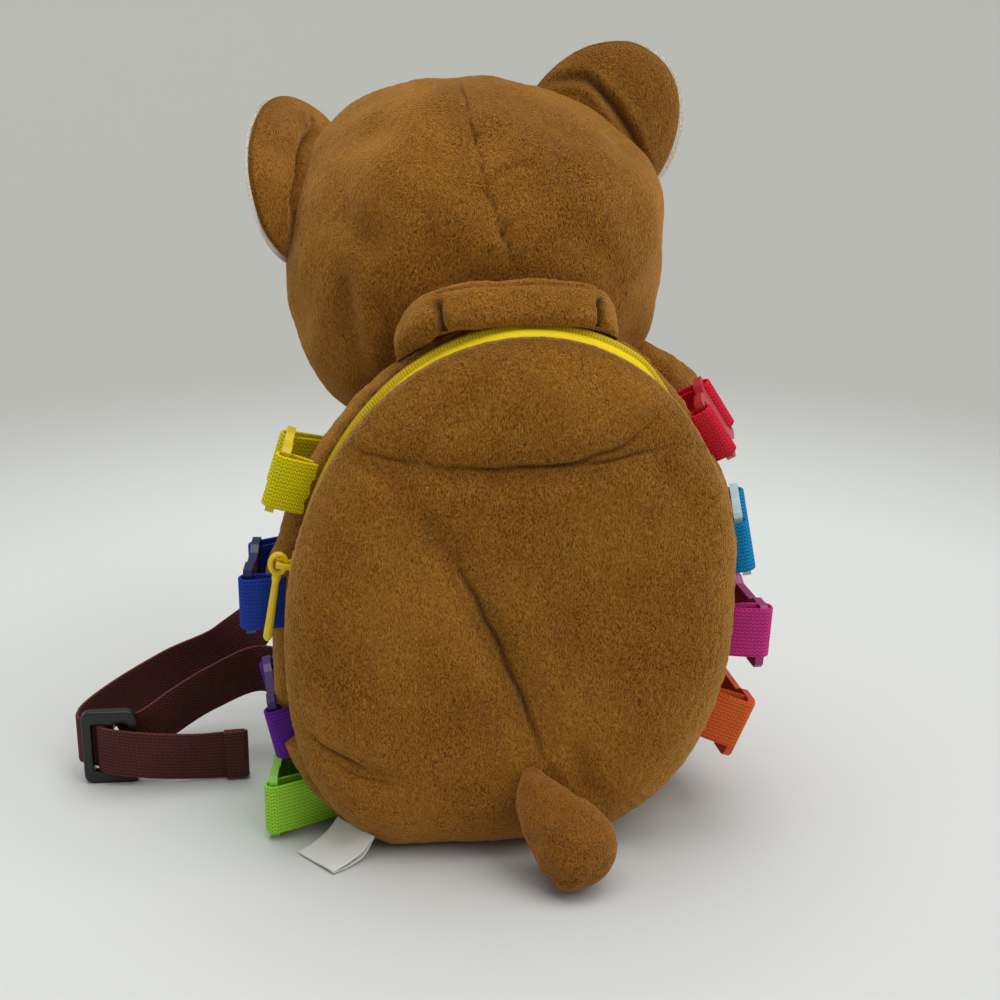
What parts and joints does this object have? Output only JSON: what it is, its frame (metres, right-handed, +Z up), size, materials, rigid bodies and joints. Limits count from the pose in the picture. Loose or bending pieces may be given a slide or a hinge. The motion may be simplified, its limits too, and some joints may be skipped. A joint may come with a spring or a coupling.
{
  "type": "plush animal backpack",
  "caption": "Small plush bear backpack with a zipped egg-shaped pouch, stuffed head, padded carrying handle, tail, coloured fastened buckles at its sides and webbing shoulder straps.",
  "frame": {"origin": "middle of the flat underside of the pouch, on the floor it sits on", "axes": "+Z up, -Y out of the back panel that shows the zip and the tail, +X to the right for someone looking at that panel"},
  "size_m": [0.338, 0.2638, 0.3552],
  "materials": {
    "plush": "short brown pile",
    "tail_plush": "short warm brown pile",
    "cream_plush": "short cream pile",
    "zip": "woven tape with a moulded coil",
    "zip_hardware": "moulded, smooth",
    "strap": "ribbed dark brown webbing",
    "lock": "moulded, satin",
    "label": "smooth white tape, blank",
    "face": "smooth",
    "webbing_yellow": "herringbone webbing",
    "webbing_blue": "herringbone webbing",
    "webbing_purple": "herringbone webbing",
    "webbing_green": "herringbone webbing",
    "webbing_red": "herringbone webbing",
    "webbing_teal": "herringbone webbing",
    "webbing_magenta": "herringbone webbing",
    "webbing_orange": "herringbone webbing",
    "plastic_yellow": "moulded, smooth",
    "plastic_blue": "moulded, smooth",
    "plastic_purple": "moulded, smooth",
    "plastic_green": "moulded, smooth",
    "plastic_red": "moulded, smooth",
    "plastic_teal": "moulded, smooth",
    "plastic_magenta": "moulded, smooth",
    "plastic_orange": "moulded, smooth"
  },
  "bodies": {
    "bag": {"back_panel": "plush", "gusset": "plush", "belly_panel": "plush", "zip_tape": "zip", "head": "plush", "ear_left": "plush", "ear_lining_left": "cream_plush", "eye_left": "face", "ear_right": "plush", "ear_lining_right": "cream_plush", "eye_right": "face", "muzzle": "cream_plush", "nose": "face", "arm_left": "plush", "arm_right": "plush", "tail": "tail_plush", "handle": "plush", "loop_yellow": "webbing_yellow", "buckle_yellow": "plastic_yellow", "tab_yellow": "webbing_yellow", "loop_blue": "webbing_blue", "buckle_blue": "plastic_blue", "tab_blue": "webbing_blue", "loop_purple": "webbing_purple", "buckle_purple": "plastic_purple", "tab_purple": "webbing_purple", "loop_green": "webbing_green", "buckle_green": "plastic_green", "tab_green": "webbing_green", "loop_red": "webbing_red", "buckle_red": "plastic_red", "tab_red": "webbing_red", "loop_teal": "webbing_teal", "buckle_teal": "plastic_teal", "tab_teal": "webbing_teal", "loop_magenta": "webbing_magenta", "buckle_magenta": "plastic_magenta", "tab_magenta": "webbing_magenta", "loop_orange": "webbing_orange", "buckle_orange": "plastic_orange", "tab_orange": "webbing_orange", "zip_slider": "zip_hardware", "strap_left": "strap", "strap_base_left": "strap", "ladder_lock_left": "lock", "strap_right": "strap", "strap_base_right": "strap", "ladder_lock_right": "lock", "care_label": "label"},
    "zip_pull": {"zip_pull": "zip_hardware"}
  },
  "joints": [
    {"name": "zip_pull_swing", "type": "hinge", "parent": "bag", "child": "zip_pull", "pos_m": [-0.1006, -0.0385, 0.13948], "axis": [0, 1, 0], "range_deg": [0, 120]}
  ]
}
